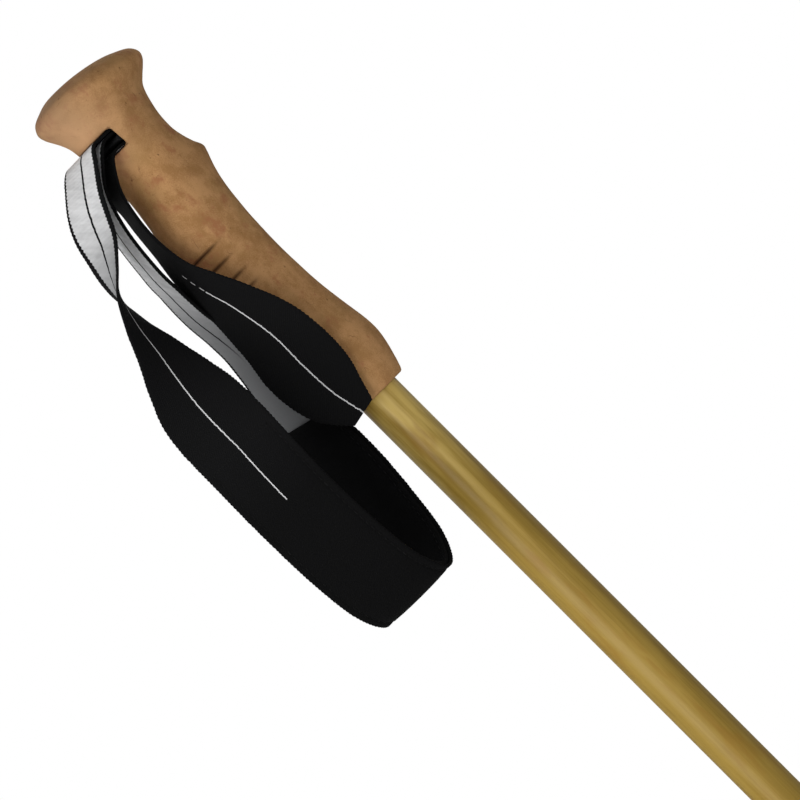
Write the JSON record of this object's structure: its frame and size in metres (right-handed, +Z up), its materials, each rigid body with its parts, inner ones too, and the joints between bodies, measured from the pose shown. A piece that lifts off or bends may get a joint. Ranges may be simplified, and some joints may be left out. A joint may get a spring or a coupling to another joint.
{
  "type": "telescopic walking stick",
  "caption": "Telescopic walking stick with a shaped cork grip, a woven wrist strap, lever-locked sliding tubes, a small basket and a pull-off rubber foot.",
  "frame": {"origin": "on the shaft's axis in the middle of the hand hold, 90 mm below the crown of the grip", "axes": "+Z up along the shaft towards the crown, +X the fingers' side of the grip, -X the palm's side where the strap leaves its slot"},
  "size_m": [0.1151, 0.0658, 0.66],
  "materials": {
    "cork": "matt cork with dark flecks",
    "webbing": "woven, black outside and white inside",
    "lining": "soft brushed lining",
    "bamboo_lacquer": "golden bamboo-look coat with lengthwise grain",
    "anodised": "satin anodised",
    "black_plastic": "fine matt grain",
    "grey_plastic": "satin",
    "white_plastic": "satin",
    "steel": "zinc plated",
    "carbide": "ground",
    "rubber": "matt moulded"
  },
  "bodies": {
    "upper_section": {"cork_grip": "cork", "strap_housing": "black_plastic", "strap_pin": "steel", "strap_webbing": "webbing", "strap_lining": "lining", "upper_shaft": "bamboo_lacquer", "upper_lock_collar": "black_plastic", "upper_lock_barrel": "steel", "upper_lock_washer": "steel"},
    "strap_wedge_block": {"strap_wedge": "black_plastic"},
    "upper_lever": {"upper_lock_lever": "grey_plastic"},
    "upper_dial": {"upper_lock_dial": "grey_plastic", "upper_lock_screw": "steel"},
    "middle_section": {"middle_shaft": "anodised", "middle_guide": "white_plastic", "lower_lock_collar": "black_plastic", "lower_lock_barrel": "steel", "lower_lock_washer": "steel"},
    "lower_lever": {"lower_lock_lever": "grey_plastic"},
    "lower_dial": {"lower_lock_dial": "grey_plastic", "lower_lock_screw": "steel"},
    "lower_section": {"lower_shaft": "anodised", "lower_guide": "white_plastic", "tip_body": "black_plastic", "carbide_tip": "carbide", "basket": "black_plastic"},
    "foot": {"rubber_foot": "rubber", "foot_disc": "steel"}
  },
  "joints": [
    {"name": "middle_slide", "type": "slide", "parent": "upper_section", "child": "middle_section", "axis": [0, 0, -1], "range_m": [0, 0.335]},
    {"name": "lower_slide", "type": "slide", "parent": "middle_section", "child": "lower_section", "axis": [0, 0, -1], "range_m": [0, 0.355]},
    {"name": "upper_lever_hinge", "type": "hinge", "parent": "upper_section", "child": "upper_lever", "pos_m": [-0.01605, 0.0097, -0.3919], "axis": [0, 0, 1], "range_deg": [0, 120]},
    {"name": "lower_lever_hinge", "type": "hinge", "parent": "middle_section", "child": "lower_lever", "pos_m": [-0.0149, 0.0097, -0.4459], "axis": [0, 0, 1], "range_deg": [0, 120]},
    {"name": "upper_dial_turn", "type": "hinge", "parent": "upper_section", "child": "upper_dial", "pos_m": [-0.01605, 0, -0.3919], "axis": [0, 1, 0], "continuous": true},
    {"name": "lower_dial_turn", "type": "hinge", "parent": "middle_section", "child": "lower_dial", "pos_m": [-0.0149, 0, -0.4459], "axis": [0, 1, 0], "continuous": true},
    {"name": "strap_wedge_slide", "type": "slide", "parent": "upper_section", "child": "strap_wedge_block", "axis": [-1, 0, 0], "range_m": [0, 0.005]},
    {"name": "foot_pull_off", "type": "slide", "parent": "lower_section", "child": "foot", "axis": [0, 0, -1], "range_m": [0, 0.032]}
  ]
}
